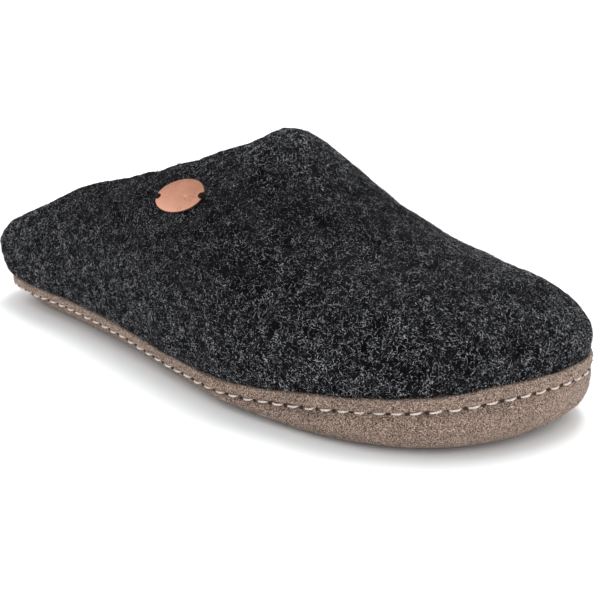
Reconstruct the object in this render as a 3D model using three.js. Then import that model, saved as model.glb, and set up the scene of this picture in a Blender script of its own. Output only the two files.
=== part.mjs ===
import * as THREE from 'three';
import { mergeVertices } from 'three/addons/utils/BufferGeometryUtils.js';

// A felt house slipper for a right foot, in millimetres.
// x runs from the heel to the toe, y to the left and z up. Every piece is worked
// out from one outline, which is walked round from the heel along the right side
// to the toe and back along the left.

// Whole form
const LENGTH = 285;
const BALL_WIDTH = 110;
const INSTEP_HEIGHT = 100;
const SWELL_HEIGHT = 38;
const EDGE_HEIGHT = 24;
const RIDGE_LEAN = 1.5;

// Walls, floors and clearance
const FELT_WALL = 4.5;
const SUEDE_WALL = 2;
const SOLE_FLOOR = 8;
const INSOLE_THICK = 4;
const GAP = 0.3;

// Roll of the sole's wall and the seam sunk into it
const ROLL = 10;
const GIRTH_SHARE = 0.85;
const SEAM_DROP = 5.5;
const SEAM_WIDTH = 1.3;
const SEAM_DEPTH = 1.3;

// Height of the tread's shape, and the share of its width that is flat
const TREAD_RISE = 1;
const TREAD_FLAT = 0.5;

// Badge
const BADGE_LENGTH = 30;
const BADGE_HEIGHT = 15;
const BADGE_THICK = 0.8;
const NOTCH_DEPTH = 2.8;
const NOTCH_WIDTH = 2.2;
const BADGE_SHARE = 0.482;
const BADGE_RISE_SHARE = 0.436;
const BADGE_TURN = 4;

// Rounding of the rims, as shares of their thickness
const RIM_ROUND = 0.35;
const INSOLE_ROUND = 0.3;

// Outline at the widest felt: share of the length, right and left half width as
// shares of the ball width, and height as a share of the swell height
const OUTLINE = [
  { at: 0.0, right: 0.0, left: 0.0, swell: 0.71 },
  { at: 0.03, right: 0.24, left: 0.2, swell: 0.74 },
  { at: 0.1, right: 0.3, left: 0.31, swell: 0.82 },
  { at: 0.22, right: 0.33, left: 0.345, swell: 0.9 },
  { at: 0.36, right: 0.385, left: 0.36, swell: 0.95 },
  { at: 0.5, right: 0.465, left: 0.405, swell: 0.98 },
  { at: 0.62, right: 0.515, left: 0.45, swell: 0.99 },
  { at: 0.72, right: 0.49, left: 0.485, swell: 1.0 },
  { at: 0.82, right: 0.44, left: 0.49, swell: 1.0 },
  { at: 0.9, right: 0.325, left: 0.45, swell: 0.96 },
  { at: 0.965, right: 0.125, left: 0.4, swell: 0.9 },
  { at: 1.0, right: -0.22, left: 0.22, swell: 0.84 },
];

// Sole: share of the length, height of its top edge as a share of the edge
// height, drop of its seam as a share of the seam drop, then insets from the
// outline of the top edge, the widest girth and the tread, as shares of the roll,
// and how high the floor lies in the cup, as a share of the sole's floor
const SOLE = [
  { at: 0.0, top: 0.69, seam: 0.85, edge: 0.5, girth: 1.1, tread: 1.8, floor: 1.5 },
  { at: 0.03, top: 0.56, seam: 0.75, edge: 0.48, girth: 1.1, tread: 1.9, floor: 1.19 },
  { at: 0.1, top: 0.52, seam: 0.7, edge: 0.38, girth: 0.85, tread: 1.9, floor: 1.11 },
  { at: 0.22, top: 0.55, seam: 0.67, edge: 0.25, girth: 0.6, tread: 1.75, floor: 1.21 },
  { at: 0.36, top: 0.53, seam: 0.7, edge: 0.21, girth: 0.5, tread: 1.68, floor: 1.14 },
  { at: 0.5, top: 0.48, seam: 0.8, edge: 0.27, girth: 0.48, tread: 1.55, floor: 1.125 },
  { at: 0.62, top: 0.51, seam: 0.88, edge: 0.3, girth: 0.3, tread: 1.1, floor: 1.125 },
  { at: 0.72, top: 0.65, seam: 0.97, edge: 0.27, girth: 0.12, tread: 0.72, floor: 1.0 },
  { at: 0.77, top: 0.735, seam: 0.95, edge: 0.225, girth: 0.065, tread: 0.66, floor: 1.0 },
  { at: 0.82, top: 0.82, seam: 0.93, edge: 0.18, girth: 0.02, tread: 0.62, floor: 1.075 },
  { at: 0.9, top: 0.95, seam: 0.95, edge: 0.04, girth: -0.1, tread: 0.62, floor: 1.2 },
  { at: 0.965, top: 1.11, seam: 1.0, edge: -0.04, girth: -0.12, tread: 0.72, floor: 1.4 },
  { at: 1.0, top: 1.15, seam: 1.0, edge: -0.12, girth: -0.08, tread: 1.05, floor: 1.65 },
];

// Tread: share of the length, height of its middle off the floor, and how much
// higher its edge lies, as shares of the tread's rise. It stands on its heel and
// its ball
const TREAD = [
  { at: 0.0, lift: 2.0, crown: 0.0 },
  { at: 0.03, lift: 1.0, crown: 0.0 },
  { at: 0.1, lift: 0.2, crown: 0.0 },
  { at: 0.13, lift: 0.0, crown: 0.0 },
  { at: 0.19, lift: 0.0, crown: 0.0 },
  { at: 0.22, lift: 0.2, crown: 0.0 },
  { at: 0.36, lift: 0.8, crown: 0.2 },
  { at: 0.5, lift: 1.0, crown: 0.4 },
  { at: 0.62, lift: 1.0, crown: 0.6 },
  { at: 0.7, lift: 0.3, crown: 0.6 },
  { at: 0.725, lift: 0.0, crown: 0.6 },
  { at: 0.76, lift: 0.0, crown: 0.6 },
  { at: 0.785, lift: 0.3, crown: 0.6 },
  { at: 0.82, lift: 0.6, crown: 0.6 },
  { at: 0.9, lift: 1.2, crown: 0.4 },
  { at: 0.965, lift: 2.0, crown: 0.2 },
  { at: 1.0, lift: 3.0, crown: 0.0 },
];

// Top line of the felt as if it closed over the opening: share of the length and
// height as a share of the instep height
const RIDGE = [
  { at: 0.0, height: 0.44 },
  { at: 0.1, height: 0.58 },
  { at: 0.22, height: 0.77 },
  { at: 0.36, height: 0.87 },
  { at: 0.5, height: 0.98 },
  { at: 0.575, height: 1.0 },
  { at: 0.64, height: 0.9 },
  { at: 0.7, height: 0.775 },
  { at: 0.79, height: 0.65 },
  { at: 0.87, height: 0.6 },
  { at: 0.94, height: 0.575 },
  { at: 1.0, height: 0.5 },
];

// Cut line of the collar seen from the side, steep ahead of the throat
const COLLAR = [
  { at: 0.0, height: 0.335 },
  { at: 0.1, height: 0.447 },
  { at: 0.22, height: 0.62 },
  { at: 0.36, height: 0.76 },
  { at: 0.44, height: 0.825 },
  { at: 0.5, height: 0.9 },
  { at: 0.53, height: 0.94 },
  { at: 0.55, height: 0.97 },
  { at: 0.56, height: 1.0 },
  { at: 0.62, height: 1.4 },
  { at: 1.0, height: 3.0 },
];

// Stretch of the length that the top line keeps to and how softly it ends, as
// shares of the length, and how full the felt is at its sides and on top
const RIDGE_START = 0.137;
const RIDGE_END = 0.853;
const RIDGE_EASE = 0.063;
const CROWN_SIDE = 1.25;
const CROWN_TOP = 1.0;

// Fineness of the facets and of the search for the collar's cut
const LINES_A_SIDE = 52;
const THROAT_CROWDING = 0.62;
const ROLL_STEPS = 4;
const SWELL_STEPS = 5;
const WALL_STEPS = 11;
const BADGE_RINGS = 3;
const BADGE_STEPS = 20;
const NOTCH_STEPS = 6;
const BADGE_STRIDE = 0.01;
const CUT_SEARCH_STEP = 0.02;
const CUT_HALVINGS = 24;
const KEY_DIGITS = 4;

const HALF_TURN = Math.PI;
const QUARTER_TURN = Math.PI / 2;

// Share of the length at a place that runs evenly round the outline, and back
const shareAt = (place) => (1 - Math.cos(HALF_TURN * place)) / 2;
const placeAt = (share) => Math.acos(1 - 2 * THREE.MathUtils.clamp(share, 0, 1)) / HALF_TURN;

// Smooth curve through a table's column: each row's slope is taken across its
// neighbours, and is level where the values turn or stay the same
function smooth(places, values) {
  const last = places.length - 1;
  const slopes = places.map((place, i) => {
    const before = Math.max(i - 1, 0);
    const after = Math.min(i + 1, last);
    const turns = (values[after] - values[i]) * (values[i] - values[before]) <= 0;
    if (turns && i > 0 && i < last) return 0;
    return (values[after] - values[before]) / (places[after] - places[before]);
  });
  return (place) => {
    let i = 0;
    while (i < last - 1 && place > places[i + 1]) i += 1;
    const step = places[i + 1] - places[i];
    const s = (place - places[i]) / step;
    const rest = 1 - s;
    return (1 + 2 * s) * rest * rest * values[i]
      + s * rest * rest * step * slopes[i]
      + (3 - 2 * s) * s * s * values[i + 1]
      - s * s * rest * step * slopes[i + 1];
  };
}

const alongOutline = (table, column, size) => smooth(
  table.map((row) => placeAt(row.at)),
  table.map((row) => row[column] * size),
);
const alongLength = (table, column, size) => smooth(
  table.map((row) => row.at * LENGTH),
  table.map((row) => row[column] * size),
);

const rightWidth = alongOutline(OUTLINE, 'right', BALL_WIDTH);
const leftWidth = alongOutline(OUTLINE, 'left', BALL_WIDTH);
const swellHeight = alongOutline(OUTLINE, 'swell', SWELL_HEIGHT);
const edgeTop = alongOutline(SOLE, 'top', EDGE_HEIGHT);
const seamDrop = alongOutline(SOLE, 'seam', SEAM_DROP);
const edgeInset = alongOutline(SOLE, 'edge', ROLL);
const girthInset = alongOutline(SOLE, 'girth', ROLL);
const treadInset = alongOutline(SOLE, 'tread', ROLL);
const cupFloor = alongOutline(SOLE, 'floor', SOLE_FLOOR);
const treadLift = alongOutline(TREAD, 'lift', TREAD_RISE);
const treadCrown = alongOutline(TREAD, 'crown', TREAD_RISE);
const ridgeHeight = alongLength(RIDGE, 'height', INSTEP_HEIGHT);
const collarHeight = alongLength(COLLAR, 'height', INSTEP_HEIGHT);

// Places on one side, closer together round the throat
const sidePlace = (step) => {
  const even = step / LINES_A_SIDE;
  return even + (THROAT_CROWDING * Math.sin(2 * HALF_TURN * even)) / (2 * HALF_TURN);
};

// One line of the form: its foot on the outline, and its head on the top line
function lineAt(place, side) {
  const x = LENGTH * shareAt(place);
  const right = -rightWidth(place);
  const left = leftWidth(place);
  const ease = RIDGE_EASE * LENGTH;
  const start = RIDGE_START * LENGTH;
  const end = RIDGE_END * LENGTH;
  const eased = start + ease * Math.log1p(Math.exp((x - start) / ease));
  const headX = end - ease * Math.log1p(Math.exp((end - eased) / ease));
  const headPlace = placeAt(headX / LENGTH);
  const headY = (leftWidth(headPlace) - rightWidth(headPlace)) / 2 + RIDGE_LEAN;
  return {
    place,
    side,
    foot: new THREE.Vector2(x, side === 'right' ? right : left),
    head: new THREE.Vector2(headX, headY),
    swell: swellHeight(place),
    top: edgeTop(place),
    seam: edgeTop(place) - seamDrop(place),
    edge: edgeInset(place),
    girth: girthInset(place),
    tread: treadInset(place),
    floor: cupFloor(place),
    lift: treadLift(place),
    crown: treadCrown(place),
  };
}

// The lines in order round the outline, each with its way in
function linesRound() {
  const right = Array.from({ length: LINES_A_SIDE + 1 }, (_, step) => lineAt(sidePlace(step), 'right'));
  const left = Array.from({ length: LINES_A_SIDE - 1 }, (_, step) => lineAt(sidePlace(step + 1), 'left'));
  const lines = [...right, ...left.reverse()];
  lines.forEach((line, i) => {
    const before = lines[(i + lines.length - 1) % lines.length];
    const after = lines[(i + 1) % lines.length];
    const along = after.foot.clone().sub(before.foot).normalize();
    line.inward = new THREE.Vector2(-along.y, along.x);
  });
  return lines;
}
const LINES = linesRound();

// A loop round the form, from each line's inset and height
const loop = (insetAndHeight) => LINES.map((line) => {
  const [inset, height] = insetAndHeight(line);
  const spot = line.foot.clone().addScaledVector(line.inward, inset);
  return new THREE.Vector3(spot.x, spot.y, height);
});

// Faces between each loop and the next, turned out when the loops climb outside
function bands(loops, isShut = () => false) {
  const faces = [];
  for (let row = 0; row < loops.length - 1; row += 1) {
    const low = loops[row];
    const high = loops[row + 1];
    for (let i = 0; i < low.length; i += 1) {
      const next = (i + 1) % low.length;
      if (isShut(row, i, next)) continue;
      faces.push([low[i], low[next], high[next]], [low[i], high[next], high[i]]);
    }
  }
  return faces;
}

// Strips across the foot from right to left, facing up
function lid(loopPoints) {
  const faces = [];
  const count = loopPoints.length;
  for (let step = 0; step < LINES_A_SIDE; step += 1) {
    const right = loopPoints[step];
    const rightNext = loopPoints[step + 1];
    const left = loopPoints[(count - step) % count];
    const leftNext = loopPoints[count - step - 1];
    if (rightNext !== leftNext) faces.push([right, rightNext, leftNext]);
    if (right !== left) faces.push([right, leftNext, left]);
  }
  return faces;
}

const turnedOver = (faces) => faces.map(([a, b, c]) => [a, c, b]);

function meshOf(name, faces, look) {
  const geometry = new THREE.BufferGeometry().setFromPoints(faces.flat());
  const merged = mergeVertices(geometry);
  merged.computeVertexNormals();
  const mesh = new THREE.Mesh(merged, new THREE.MeshStandardMaterial(look));
  mesh.name = name;
  return mesh;
}

// Suede cup: a tread that is flat along its middle and rises a little to its edge
// under the ball, rolled up into a wall, with a sunk seam under the wall's top edge
function sole() {
  const groove = (line) => line.edge + SEAM_DEPTH;
  const lip = (line) => line.seam - SEAM_WIDTH;
  const base = (line) => line.lift + line.crown;
  const flat = LINES.map((line) => {
    const edge = line.foot.clone().addScaledVector(line.inward, line.tread);
    const spot = line.head.clone().lerp(edge, TREAD_FLAT);
    return new THREE.Vector3(spot.x, spot.y, treadLift(placeAt(spot.x / LENGTH)));
  });
  const rolled = Array.from({ length: ROLL_STEPS + 1 }, (_, step) => {
    const angle = (QUARTER_TURN * step) / ROLL_STEPS;
    return loop((line) => [
      THREE.MathUtils.lerp(line.tread, line.girth, Math.sin(angle)),
      THREE.MathUtils.lerp(base(line), lip(line), GIRTH_SHARE * (1 - Math.cos(angle))),
    ]);
  });
  const rim = SUEDE_WALL / 2;
  const loops = [
    flat,
    ...rolled,
    loop((line) => [(line.girth + groove(line)) / 2, lip(line)]),
    loop((line) => [groove(line), line.seam]),
    loop((line) => [line.edge, line.seam + SEAM_WIDTH]),
    loop((line) => [line.edge, line.top - rim]),
    loop((line) => [line.edge + rim, line.top]),
    loop((line) => [line.edge + SUEDE_WALL, line.top - rim]),
    loop((line) => [line.edge + SUEDE_WALL, line.floor]),
  ];
  const faces = [
    ...turnedOver(lid(loops[0])),
    ...bands(loops),
    ...lid(loops[loops.length - 1]),
  ];
  return meshOf('sole', faces, { color: 0x8a7970, roughness: 0.95, metalness: 0 });
}

// Felt footbed lying in the cup, inside the felt wall
function insole() {
  const inset = (line) => line.edge + SUEDE_WALL + FELT_WALL + 2 * GAP;
  const bottom = (line) => line.floor + GAP;
  const loops = [
    loop((line) => [inset(line), bottom(line)]),
    loop((line) => [inset(line), bottom(line) + INSOLE_THICK * (1 - INSOLE_ROUND)]),
    loop((line) => [inset(line) + INSOLE_THICK * INSOLE_ROUND, bottom(line) + INSOLE_THICK]),
  ];
  const faces = [
    ...turnedOver(lid(loops[0])),
    ...bands(loops),
    ...lid(loops[loops.length - 1]),
  ];
  return meshOf('insole', faces, { color: 0x3a3a3d, roughness: 1, metalness: 0 });
}

// A point of the felt above its widest girth, where rise goes from 0 to 1 at the top line
function crownPoint(line, rise) {
  const angle = QUARTER_TURN * rise;
  const out = Math.max(Math.cos(angle), 0) ** CROWN_SIDE;
  const up = Math.sin(angle) ** CROWN_TOP;
  const spot = line.head.clone().lerp(line.foot, out);
  const height = THREE.MathUtils.lerp(line.swell, ridgeHeight(spot.x), up);
  return new THREE.Vector3(spot.x, spot.y, height);
}

// Rise at which the collar cuts a line, or 1 where the line runs up to the top line
function collarRise(line) {
  const above = (rise) => {
    const point = crownPoint(line, rise);
    return point.z > collarHeight(point.x);
  };
  let high = 0;
  while (high < 1 && !above(high)) high += CUT_SEARCH_STEP;
  if (high >= 1) return 1;
  let low = high - CUT_SEARCH_STEP;
  for (let i = 0; i < CUT_HALVINGS; i += 1) {
    const middle = (low + high) / 2;
    if (above(middle)) high = middle;
    else low = middle;
  }
  return high;
}

const spotKey = (point) => point.toArray().map((value) => value.toFixed(KEY_DIGITS)).join();

// Way out of the faces round each point
function waysOut(faces) {
  const sums = new Map();
  faces.forEach(([a, b, c]) => {
    const out = b.clone().sub(a).cross(c.clone().sub(a));
    [a, b, c].forEach((point) => {
      const key = spotKey(point);
      if (!sums.has(key)) sums.set(key, new THREE.Vector3());
      sums.get(key).add(out);
    });
  });
  return (point) => sums.get(spotKey(point)).clone().normalize();
}

// Felt shell in one piece: it stands in the cup, swells over the suede's edge,
// climbs to the collar or the top line and comes down again a wall's thickness in
function upper() {
  const foot = (line) => line.edge + SUEDE_WALL + GAP;
  const bottom = (line) => line.floor + GAP;
  const rim = SUEDE_WALL / 2;
  const reach = rim + GAP;
  const rises = LINES.map(collarRise);
  const isOpen = (i) => rises[i] < 1;

  const overEdge = [0, 1, 2].map((step) => {
    const angle = (QUARTER_TURN * step) / 2;
    return loop((line) => [
      line.edge + rim + reach * Math.cos(angle),
      line.top - rim + reach * Math.sin(angle),
    ]);
  });
  const swelling = Array.from({ length: SWELL_STEPS }, (_, step) => {
    const angle = (QUARTER_TURN * (step + 1)) / SWELL_STEPS;
    return loop((line) => [
      (line.edge + rim) * (1 - Math.sin(angle)),
      THREE.MathUtils.lerp(line.swell, line.top + GAP, Math.cos(angle)),
    ]);
  });
  const crown = Array.from({ length: WALL_STEPS }, (_, step) => LINES.map(
    (line, i) => crownPoint(line, (rises[i] * (step + 1)) / WALL_STEPS),
  ));
  const outside = [loop((line) => [foot(line), bottom(line)]), ...overEdge, ...swelling, ...crown];
  const wayOut = waysOut(bands(outside));

  const inward = (points) => points.map(
    (point) => point.clone().addScaledVector(wayOut(point), -FELT_WALL),
  );
  const inside = [
    ...[...swelling.slice(1), ...crown].reverse().map(inward),
    loop((line) => [foot(line) + FELT_WALL, line.top]),
    loop((line) => [foot(line) + FELT_WALL, bottom(line)]),
  ];

  const collar = outside[outside.length - 1];
  const collarInside = inside[0];
  const rounded = collar.map((point, i) => {
    const middle = point.clone().add(collarInside[i]).divideScalar(2);
    if (!isOpen(i)) return middle;
    const before = collar[(i + collar.length - 1) % collar.length];
    const after = collar[(i + 1) % collar.length];
    const along = after.clone().sub(before).normalize();
    const free = wayOut(point).cross(along).normalize();
    return middle.addScaledVector(free, FELT_WALL * RIM_ROUND);
  });

  const loops = [...outside, rounded, ...inside, outside[0]];
  const isShut = (row, i, next) => (
    (loops[row] === rounded || loops[row + 1] === rounded) && !isOpen(i) && !isOpen(next)
  );
  return meshOf('upper', bands(loops, isShut), { color: 0x2f2f33, roughness: 1, metalness: 0 });
}

// Oval badge bent along the felt of the right wall, with a notch at each end
function badge() {
  const pointAt = (share, rise) => crownPoint(lineAt(placeAt(share), 'right'), rise);
  const frameAt = (share, rise) => {
    const point = pointAt(share, rise);
    const along = pointAt(share + BADGE_STRIDE, rise).sub(point).divideScalar(BADGE_STRIDE);
    const up = pointAt(share, rise + BADGE_STRIDE).sub(point).divideScalar(BADGE_STRIDE);
    return { point, along, up, out: along.clone().cross(up).normalize() };
  };
  const middle = frameAt(BADGE_SHARE, BADGE_RISE_SHARE);
  const turn = THREE.MathUtils.degToRad(BADGE_TURN);
  const forward = middle.along.clone().normalize().applyAxisAngle(middle.out, turn);
  const upward = middle.out.clone().cross(forward);

  // Strides along and up the felt that give a step in the badge's own plane
  const { along, up } = middle;
  const mix = along.dot(up);
  const spread = along.lengthSq() * up.lengthSq() - mix * mix;
  const onFelt = (a, b, height) => {
    const step = forward.clone().multiplyScalar(a).addScaledVector(upward, b);
    const share = (step.dot(along) * up.lengthSq() - step.dot(up) * mix) / spread;
    const rise = (step.dot(up) * along.lengthSq() - step.dot(along) * mix) / spread;
    const { point, out } = frameAt(BADGE_SHARE + share, BADGE_RISE_SHARE + rise);
    return point.addScaledVector(out, height);
  };

  const half = new THREE.Vector2(BADGE_LENGTH / 2, BADGE_HEIGHT / 2);
  const notchAngle = Math.asin(NOTCH_WIDTH / BADGE_HEIGHT);
  const outline = [];
  [0, 1].forEach((end) => {
    const facing = end === 0 ? 1 : -1;
    for (let step = 0; step < NOTCH_STEPS; step += 1) {
      const angle = HALF_TURN * (step / NOTCH_STEPS) - QUARTER_TURN;
      const reach = half.x * Math.cos(notchAngle) - NOTCH_DEPTH * Math.cos(angle);
      outline.push([facing * reach, (facing * NOTCH_WIDTH * Math.sin(angle)) / 2]);
    }
    for (let step = 0; step < BADGE_STEPS; step += 1) {
      const angle = notchAngle + ((HALF_TURN - 2 * notchAngle) * step) / BADGE_STEPS;
      outline.push([facing * half.x * Math.cos(angle), facing * half.y * Math.sin(angle)]);
    }
  });
  const ring = (scale, height) => outline.map(([a, b]) => onFelt(a * scale, b * scale, height));
  const sheet = (height) => Array.from(
    { length: BADGE_RINGS },
    (_, step) => ring(1 - step / BADGE_RINGS, height),
  );
  const back = GAP;
  const front = GAP + BADGE_THICK;
  const fan = (points, height) => {
    const hub = onFelt(0, 0, height);
    return points.map((point, i) => [point, points[(i + 1) % points.length], hub]);
  };
  const backRings = sheet(back);
  const frontRings = sheet(front);
  const faces = [
    ...turnedOver(fan(backRings[BADGE_RINGS - 1], back)),
    ...bands([...backRings.reverse(), ...frontRings]),
    ...fan(frontRings[BADGE_RINGS - 1], front),
  ];
  return meshOf('badge', faces, { color: 0xc98a6a, roughness: 0.35, metalness: 1 });
}

const slipper = new THREE.Group();
slipper.add(upper(), sole(), insole(), badge());

// The origin lies on the floor under the middle of the slipper
const extent = new THREE.Box3().setFromObject(slipper);
const centre = extent.getCenter(new THREE.Vector3());
slipper.position.set(-centre.x, -centre.y, -extent.min.z);

export default slipper;
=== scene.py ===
import math

import bpy
import numpy as np
from mathutils import Euler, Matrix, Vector, noise


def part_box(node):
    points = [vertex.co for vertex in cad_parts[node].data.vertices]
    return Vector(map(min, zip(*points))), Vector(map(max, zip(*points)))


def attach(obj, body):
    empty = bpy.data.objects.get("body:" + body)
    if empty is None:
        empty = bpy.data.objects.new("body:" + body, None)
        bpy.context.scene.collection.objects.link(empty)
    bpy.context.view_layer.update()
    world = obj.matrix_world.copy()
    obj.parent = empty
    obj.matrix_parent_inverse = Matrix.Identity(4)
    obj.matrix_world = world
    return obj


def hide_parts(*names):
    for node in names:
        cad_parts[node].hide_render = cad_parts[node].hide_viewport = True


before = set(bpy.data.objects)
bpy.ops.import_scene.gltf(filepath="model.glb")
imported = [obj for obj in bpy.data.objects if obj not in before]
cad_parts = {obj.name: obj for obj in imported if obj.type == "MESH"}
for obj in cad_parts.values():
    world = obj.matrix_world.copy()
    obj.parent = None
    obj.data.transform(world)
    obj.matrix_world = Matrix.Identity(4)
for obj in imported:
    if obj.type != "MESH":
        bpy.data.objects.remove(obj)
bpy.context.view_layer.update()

# A felt house slipper for a right foot. The sizes are in millimetres, with x from
# the heel to the toe, y to the left and z up, and each piece is worked out from
# one outline, walked round from the heel along the right side and back on the left.
MM = 0.001

# Whole form
LENGTH = 285
BALL_WIDTH = 110
INSTEP_HEIGHT = 100
SWELL_HEIGHT = 38
EDGE_HEIGHT = 24
RIDGE_LEAN = 1.5

# Walls, floors and clearance
FELT_WALL = 4.5
SUEDE_WALL = 2
SOLE_FLOOR = 8
INSOLE_THICK = 4
GAP = 0.3
RIM_ROUND = 0.35
INSOLE_ROUND = 0.3

# Roll of the sole's wall and the seam sunk into it
ROLL = 10
GIRTH_SHARE = 0.85
SEAM_DROP = 5.5
SEAM_WIDTH = 1.3
SEAM_DEPTH = 1.3

# Height of the tread's shape, and the share of its width that is flat
TREAD_RISE = 1
TREAD_FLAT = 0.5

# Stitches along the seam: how they vary, and how deep their thread is seated, as a
# share of the seam's depth, and then how it rises and dips
STITCH_PITCH = 6.9
STITCH_LENGTH = 4.9
STITCH_STEPS = 11
STITCH_WOBBLE = 0.04
STITCH_SLANT = 0.22
STITCH_SAG = 0.3
STITCH_SPREAD = 0.1
THREAD_RADIUS = 0.42
THREAD_SIDES = 10
THREAD_SEAT = 0.42
THREAD_RISE = 0.55
THREAD_DIP = 0.95
PLY_DEPTH = 0.13
PLY_TWIST = 5.5

# Pinholes between the stitches: the rings of each as shares of its radius and how
# far they stand out, and where along the shoe they grow from narrow to full size
PINHOLE_RADIUS = 0.9
PINHOLE_NARROW = 0.6
PINHOLE_GROWTH = (0.35, 0.7)
PINHOLE_HEIGHT_SHARE = 0.8
PINHOLE_SINK = 0.2
PINHOLE_STAND = 0.1
PINHOLE_STRIDE = 0.02
PINHOLE_SIDES = 12
PINHOLE_RINGS = ((1, 0.02), (0.8, -0.25), (0.4, -0.5))

# How much shallower the seam is halfway between two pinholes
PUCKER = 0.38

# Badge
BADGE_LENGTH = 30
BADGE_HEIGHT = 15
BADGE_THICK = 0.8
BADGE_BEVEL = 0.3
BADGE_STEPS = 48
NOTCH_DEPTH = 2.8
NOTCH_WIDTH = 2.2
NOTCH_STEPS = 12
BADGE_SHARE = 0.482
BADGE_RISE_SHARE = 0.436
BADGE_TURN = 4
BADGE_STRIDE = 0.01

# Rings of its back, as shares of the outline, of its face, as insets and drops, and
# of the dish in it, as shares of an oval that stays inside the notches
BACK_RINGS = (0.1, 0.4, 0.7)
FACE_DROP = 0.12
FACE_RINGS = ((0.7, 0.02), (1, FACE_DROP))
DISH_SHARE = 0.64
DISH_DEPTH = 0.15
DISH_RINGS = (1, 0.85, 0.65, 0.4, 0.15)

# Strands of thread through its notches: their heights on the badge, then half the
# length of each, its seat in the notch and its rise and dip
STRANDS = (-0.405, 0.045, 0.45)
STRAND_HALF = 2
STRAND_SEAT = 0.55
STRAND_RISE = 0.9
STRAND_DIP = 1.9
STRAND_RADIUS = 0.42
STRAND_STEPS = 13
STRAND_SIDES = 8

# Outline at the widest felt: share of the length, right and left half width as
# shares of the ball width, and height as a share of the swell height
OUTLINE = {
    "at": [0, 0.03, 0.1, 0.22, 0.36, 0.5, 0.62, 0.72, 0.82, 0.9, 0.965, 1],
    "right": [0, 0.24, 0.3, 0.33, 0.385, 0.465, 0.515, 0.49, 0.44, 0.325, 0.125, -0.22],
    "left": [0, 0.2, 0.31, 0.345, 0.36, 0.405, 0.45, 0.485, 0.49, 0.45, 0.4, 0.22],
    "swell": [0.71, 0.74, 0.82, 0.9, 0.95, 0.98, 0.99, 1, 1, 0.96, 0.9, 0.84],
}

# Sole: height of its top edge as a share of the edge height, drop of its seam as
# a share of the seam drop, then insets from the outline, as shares of the roll,
# and how high the floor lies in the cup, as a share of the sole's floor
SOLE = {
    "at": [0, 0.03, 0.1, 0.22, 0.36, 0.5, 0.62, 0.72, 0.77, 0.82, 0.9, 0.965, 1],
    "top": [0.69, 0.56, 0.52, 0.55, 0.53, 0.48, 0.51, 0.65, 0.735, 0.82, 0.95, 1.11, 1.15],
    "seam": [0.85, 0.75, 0.7, 0.67, 0.7, 0.8, 0.88, 0.97, 0.95, 0.93, 0.95, 1, 1],
    "edge": [0.5, 0.48, 0.38, 0.25, 0.21, 0.27, 0.3, 0.27, 0.225, 0.18, 0.04, -0.04, -0.12],
    "girth": [1.1, 1.1, 0.85, 0.6, 0.5, 0.48, 0.3, 0.12, 0.065, 0.02, -0.1, -0.12, -0.08],
    "tread": [1.8, 1.9, 1.9, 1.75, 1.68, 1.55, 1.1, 0.72, 0.66, 0.62, 0.62, 0.72, 1.05],
    "floor": [1.5, 1.19, 1.11, 1.21, 1.14, 1.125, 1.125, 1, 1, 1.075, 1.2, 1.4, 1.65],
}

# Tread: height of its middle off the floor and how much higher its edge lies
TREAD = {
    "at": [0, 0.03, 0.1, 0.13, 0.19, 0.22, 0.36, 0.5, 0.62,
           0.7, 0.725, 0.76, 0.785, 0.82, 0.9, 0.965, 1],
    "lift": [2, 1, 0.2, 0, 0, 0.2, 0.8, 1, 1, 0.3, 0, 0, 0.3, 0.6, 1.2, 2, 3],
    "crown": [0, 0, 0, 0, 0, 0, 0.2, 0.4, 0.6, 0.6, 0.6, 0.6, 0.6, 0.6, 0.4, 0.2, 0],
}

# Top line of the felt, and the cut of the collar seen from the side, as shares of
# the length and of the instep height
RIDGE = {
    "at": [0, 0.1, 0.22, 0.36, 0.5, 0.575, 0.64, 0.7, 0.79, 0.87, 0.94, 1],
    "height": [0.44, 0.58, 0.77, 0.87, 0.98, 1, 0.9, 0.775, 0.65, 0.6, 0.575, 0.5],
}
COLLAR = {
    "at": [0, 0.1, 0.22, 0.36, 0.44, 0.5, 0.53, 0.55, 0.56, 0.62, 1],
    "height": [0.335, 0.447, 0.62, 0.76, 0.825, 0.9, 0.94, 0.97, 1, 1.4, 3],
}
RIDGE_START = 0.137
RIDGE_END = 0.853
RIDGE_EASE = 0.063
CROWN_SIDE = 1.25
CROWN_TOP = 1.0

# Soft troughs and ridges of the felt: where each starts and ends, its width and
# how far it rises, with a trough below nought
CREASES = (
    ((162, -35, 83), (174, -43, 68), 8, -1.1),
    ((178, -30, 84), (196, -50, 54), 9, -1.5),
    ((202, -30, 68), (223, -17, 63), 13, -1.5),
    ((180, -56, 33), (228, -50, 35), 11, 1.3),
    ((244, -43, 41), (254, -28, 48), 9, -1.2),
    ((58, -36, 34), (95, -40, 33), 9, -1.1),
    ((76, -33, 58), (102, -33, 64), 9, 0.9),
    ((30, -28, 46), (24, -18, 60), 8, 0.8),
    ((178, 36, 60), (196, 47, 40), 10, -1.2),
    ((112, 44, 40), (158, 47, 38), 11, 1.0),
)

# Lumps of the felt and of the suede: size, depth and seed
FELT_LUMPS = ((14, 0.9, 3), (3.2, 0.35, 9))
SUEDE_LUMPS = ((11, 0.6, 5), (2.4, 0.22, 13))
LUMP_SHIFT = (1, 1.7, 2.3)

# Height up to which each surface keeps its place, and over which it then comes free
FOOT_KEPT = 12
FOOT_EASE = 12
TREAD_KEPT = 1.5
TREAD_EASE = 6

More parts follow.
